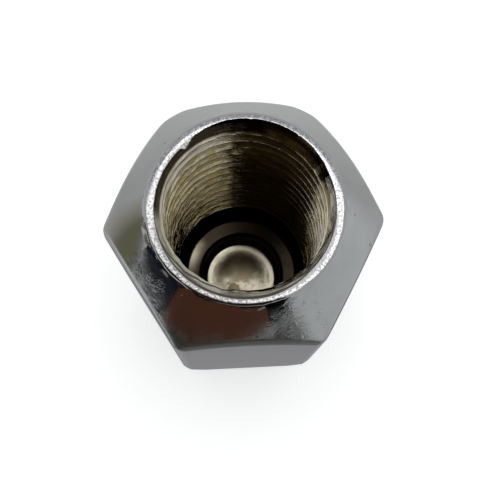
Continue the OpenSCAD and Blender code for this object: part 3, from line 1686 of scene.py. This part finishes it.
@dataclass(frozen=True)
class Viewpoint:
    """Where the camera stands, in rim radii from the middle of the mouth, and how it looks."""

    offset: Place = (-0.257185, -2.302293, 7.356972)
    direction: Place = (0.036786, 0.243524, -0.969197)
    up: Place = (0.043715, 0.968533, 0.245016)
    field_of_view: float = 35.866
    sensor: float = 36.0

    def build(self, sizes: NutSizes) -> None:
        """Makes the camera.

        Args:
            sizes: Sizes of the nut.
        """
        data = bpy.data.cameras.new("camera")
        data.sensor_width = self.sensor
        data.lens = self.sensor / 2 / math.tan(math.radians(self.field_of_view / 2))
        data.clip_start = 1 * MM
        camera = bpy.data.objects.new("camera", data)
        back = -Vector(self.direction).normalized()
        right = Vector(self.up).cross(back).normalized()
        turn = Matrix((right, back.cross(right), back)).transposed()
        place = UP * sizes.length + Vector(self.offset) * sizes.rim_r
        camera.matrix_world = Matrix.Translation(place) @ turn.to_4x4()
        bpy.context.scene.collection.objects.link(camera)
        bpy.context.scene.camera = camera


@dataclass(frozen=True)
class Card(ABC):
    """A card that shows in metal only, with its sizes in millimetres."""

    name: str
    colour: Colour

    @abstractmethod
    def shape(self) -> BMesh:
        """Makes its mesh, in metres."""

    def set_up(self) -> Object:
        """Makes the card, colours it, and hides it from everything but mirror reflections.

        Returns:
            The card.
        """
        card = as_object(self.shape(), self.name)
        material = bpy.data.materials.new(card.name)
        material.use_nodes = True
        bench = NodeBench(material.node_tree)
        glow = bench.node("ShaderNodeEmission")
        glow.inputs["Color"].default_value = (*self.colour, 1)
        bench.surface(glow.outputs[0])
        card.data.materials.append(material)
        card.visible_camera = False
        card.visible_diffuse = False
        card.visible_shadow = False
        card.visible_transmission = False
        return card


@dataclass(frozen=True)
class StandingCard(Card):
    """A folded card that stands along a line of corners, from its foot to its head."""

    corners: tuple[Point, ...]
    foot: float
    head: float

    def shape(self) -> BMesh:
        """Raises it from its lower edge.

        Returns:
            The mesh.
        """
        bm = bmesh.new()
        verts = [bm.verts.new((x * MM, y * MM, self.foot * MM)) for x, y in self.corners]
        edges = [bm.edges.new(pair) for pair in zip(verts, verts[1:])]
        made = bmesh.ops.extrude_edge_only(bm, edges=edges)
        raised = [item for item in made["geom"] if isinstance(item, BMVert)]
        bmesh.ops.translate(bm, vec=UP * (self.head - self.foot) * MM, verts=raised)
        return bm


@dataclass(frozen=True)
class LevelCard(Card):
    """A flat card that is held level at a height."""

    corners: tuple[Point, ...]
    height: float

    def shape(self) -> BMesh:
        """Fills its outline.

        Returns:
            The mesh.
        """
        bm = bmesh.new()
        verts = [bm.verts.new((x * MM, y * MM, self.height * MM)) for x, y in self.corners]
        bmesh.ops.contextual_create(bm, geom=verts)
        return bm


@dataclass(frozen=True)
class RoundCard(Card):
    """A level round card that fades out from the solid share of its radius to its edge."""

    middle: Place
    radius: float
    solid: float

    def shape(self) -> BMesh:
        """Lays it in its place.

        Returns:
            The mesh.
        """
        bm = bmesh.new()
        bmesh.ops.create_circle(bm, cap_ends=True, segments=48, radius=self.radius * MM)
        bmesh.ops.translate(bm, vec=Vector(self.middle) * MM, verts=bm.verts)
        return bm

    def set_up(self) -> Object:
        """Makes the card and fades it out.

        Returns:
            The card.
        """
        card = super().set_up()
        bench = NodeBench(card.active_material.node_tree)
        where = bench.node("ShaderNodeTexCoord").outputs["Object"]
        centre = tuple(part * MM for part in self.middle)
        away = bench.vector("DISTANCE", where, centre).outputs["Value"]
        fade = bench.ramp(away, self.radius * MM, self.radius * self.solid * MM)
        clear = bench.node("ShaderNodeBsdfTransparent").outputs[0]
        bench.surface(bench.mix(fade, clear, bench.tree.nodes["Emission"].outputs[0]))
        return card


@dataclass(frozen=True)
class CardSet:
    """The dark and coloured cards round the nut."""

    black: Colour = (0.004, 0.004, 0.005)
    brown: Colour = (0.15, 0.058, 0.034)
    navy: Colour = (0.02, 0.02, 0.033)
    left: tuple[Point, ...] = ((-103, -8), (-112, -44), (-114, -73), (-105, -95), (-107, -103))
    front: tuple[Point, ...] = (
        (-107, -103),
        (-89, -128),
        (-78, -142),
        (-56, -180),
        (-6, -203),
        (50, -212),
    )
    right: tuple[Point, ...] = ((50, -213), (73, -202), (112, -197))
    over: tuple[Point, ...] = (
        (14, -30),
        (31, -60),
        (51, -140),
        (-100, -140),
        (-70, -11),
        (-46, -2),
        (-30, 9.5),
        (2, 9.5),
    )

    # Rows of round cards on the floor, each by its direction in degrees and its distance from the axis.
    dark_feet: tuple[Point, ...] = (
        (-169, 121),
        (-161, 129),
        (-153, 139),
        (-144, 147),
        (-135, 152),
        (-126, 157),
    )
    pale_feet: tuple[Point, ...] = ((-172, 88), (-161, 104), (-151, 115), (-141, 125), (-132, 131))
    dim_feet: tuple[Point, ...] = ((-117, 124), (-110, 135), (-98, 145), (-86, 150), (-75, 150))

    # How much higher a card lies for each millimetre that it is further out, so that no two coincide.
    climb: float = 0.001

    def standing(self) -> list[Card]:
        """The cards that stand round the nut, and the one over its mouth.

        Returns:
            The cards, still to be laid out.
        """
        high_left = ((-104, 16), (-103, -8))
        left_end = ((-96, -78), (-86, -90))
        return [
            StandingCard("dark_left", self.navy, self.left, foot=0.3, head=42),
            StandingCard("dark_left_high", self.black, high_left, foot=12, head=60),
            StandingCard("brown_front", self.brown, self.front, foot=0.3, head=26),
            StandingCard("brown_left_end", self.brown, left_end, foot=2.5, head=26),
            StandingCard("dark_front", self.black, self.front, foot=26, head=70),
            StandingCard("dark_right", self.black, self.right, foot=0.3, head=60),
            LevelCard("over_mouth", (0.045, 0.034, 0.018), self.over, height=73),
        ]

    def feet(self) -> list[Card]:
        """The rows of round cards that lie along the foot of the standing ones.

        Returns:
            The cards, row by row, still to be laid out.
        """
        rows = (
            ("dark_foot_left", (0.012, 0.012, 0.01), self.dark_feet, 0.6, 23, 0.4),
            ("pale_foot_left", (0.8, 0.8, 0.79), self.pale_feet, 0.1, 20, 0.5),
            ("dim_foot_front", (0.13, 0.125, 0.11), self.dim_feet, 0.6, 62, 0.5),
        )
        return [
            RoundCard(name, colour, self.on_floor(angle, away, up), radius, solid)
            for name, colour, places, up, radius, solid in rows
            for angle, away in places
        ]

    def near(self) -> list[Card]:
        """The round cards that lie near the nut.

        Returns:
            The cards, still to be laid out.
        """
        return [
            RoundCard("dim_near_front", (0.24, 0.24, 0.23), (-5, -88, 0.35), radius=76, solid=0.6),
            RoundCard("dim_near_left", (0.4, 0.4, 0.4), (-58, -52, 0.3), radius=26, solid=0.3),
            RoundCard("gap_left", (0.14, 0.136, 0.11), (-88, -8, 0.45), radius=15, solid=0.3),
            RoundCard("olive_left", (0.3, 0.29, 0.19), (-82, 7, 0.5), radius=24, solid=0.35),
            RoundCard("pale_olive_left", (0.6, 0.58, 0.5), (-68, 20, 0.4), radius=19, solid=0.1),
            RoundCard("grey_behind", (0.8, 0.8, 0.8), (0, 45, 0.2), radius=80, solid=0.65),
            # A grey sheet under the nut that only the metal sees: painted shadow standing in for the
            # floor's contact shade.
            RoundCard("contact_shadow_card", (0.33, 0.33, 0.34), (0, -10, 0.3), radius=36, solid=0.6),
        ]

    def on_floor(self, angle: float, away: float, up: float) -> Place:
        """A place just over the floor.

        Args:
            angle: Its direction, in degrees.
            away: Its distance from the axis, in millimetres.
            up: Its height, in millimetres, were it at the axis.

        Returns:
            The place, in millimetres.
        """
        x, y = around((0, 0), away, angle)
        return (x, y, up + away * self.climb)

    def build(self) -> None:
        """Sets the cards out."""
        for card in (*self.standing(), *self.feet(), *self.near()):
            card.set_up()


@dataclass(frozen=True)
class Studio:
    """A pale floor, cards that the metal mirrors, a soft lamp and a plain world."""

    floor_r: float = 600 * MM
    floor_colour: Colour = (0.8, 0.8, 0.8)
    floor_roughness: float = 0.9
    floor_glow: float = 0.46
    sky_colour: Colour = (0.97, 0.985, 1.0)
    sky_strength: float = 0.6
    lamp_width: float = 260 * MM
    lamp_place: Place = (20 * MM, 40 * MM, 260 * MM)
    lamp_power: float = 0.2

    def build(self) -> None:
        """Sets the scene round the nut."""
        self.floor()
        self.world()
        self.lamp()
        CardSet().build()

    def background_rays(self, bench: NodeBench) -> NodeSocket:
        """Picks out the rays that see the background: from the camera, off metal or through glass.

        Args:
            bench: Where the nodes go.

        Returns:
            1 for such a ray, otherwise 0.
        """
        path = bench.node("ShaderNodeLightPath").outputs
        seen = ("Is Camera Ray", "Is Glossy Ray", "Is Transmission Ray")
        return bench.most(*(path[name] for name in seen))

    def floor(self) -> None:
        """Lays a round pale floor, which shows the nut's shadow."""
        bm = bmesh.new()
        bmesh.ops.create_circle(bm, cap_ends=True, segments=96, radius=self.floor_r)
        floor = as_object(bm, "floor")
        material = bpy.data.materials.new("floor")
        material.use_nodes = True
        bench = NodeBench(material.node_tree)
        shader = material.node_tree.nodes["Principled BSDF"]
        shader.inputs["Base Color"].default_value = (*self.floor_colour, 1)
        shader.inputs["Roughness"].default_value = self.floor_roughness
        shader.inputs["Specular IOR Level"].default_value = 0.0
        glow = bench.node("ShaderNodeEmission")
        strength = bench.times(self.background_rays(bench), self.floor_glow)
        bench.plug(glow.inputs["Strength"], strength)
        both = bench.node("ShaderNodeAddShader")
        bench.plug(both.inputs[0], shader.outputs[0])
        bench.plug(both.inputs[1], glow.outputs[0])
        bench.surface(both.outputs[0])
        floor.data.materials.append(material)

    def world(self) -> None:
        """Gives the surroundings one soft pale tone."""
        world = bpy.data.worlds.new("world")
        bpy.context.scene.world = world
        world.use_nodes = True
        bench = NodeBench(world.node_tree)
        light = world.node_tree.nodes["Background"]
        light.inputs["Color"].default_value = (*self.sky_colour, 1)
        light.inputs["Strength"].default_value = self.sky_strength
        shown = bench.node("ShaderNodeBackground")
        shown.inputs["Color"].default_value = (1, 1, 1, 1)
        shown.inputs["Strength"].default_value = 1.0
        seen = self.background_rays(bench)
        bench.surface(bench.mix(seen, light.outputs[0], shown.outputs[0]))

    def lamp(self) -> None:
        """Hangs a wide soft lamp overhead."""
        data = bpy.data.lights.new("overhead", "AREA")
        data.shape = "DISK"
        data.size = self.lamp_width
        data.energy = self.lamp_power
        lamp = bpy.data.objects.new("overhead", data)
        lamp.location = self.lamp_place
        lamp.visible_camera = False
        bpy.context.scene.collection.objects.link(lamp)


def main() -> None:
    """Builds the nut and the studio, and reports each piece."""
    logging.basicConfig(level=logging.INFO, format="%(name)s: %(message)s")
    bpy.context.scene.view_settings.view_transform = "Standard"
    sizes = NutSizes.from_frame()
    nut = LugNut(sizes)
    nut.build()
    effects = SharedEffects()
    metals = (WornChrome(), RimSteel(), BoreSteel(sizes=sizes))
    nut.dress([metal.build(effects) for metal in metals])
    mesh = nut.piece.data
    mesh.calc_loop_triangles()
    LOG.info("%s: %d triangles", nut.piece.name, len(mesh.loop_triangles))
    Viewpoint().build(sizes)
    Studio().build()


if __name__ == "__main__":
    main()
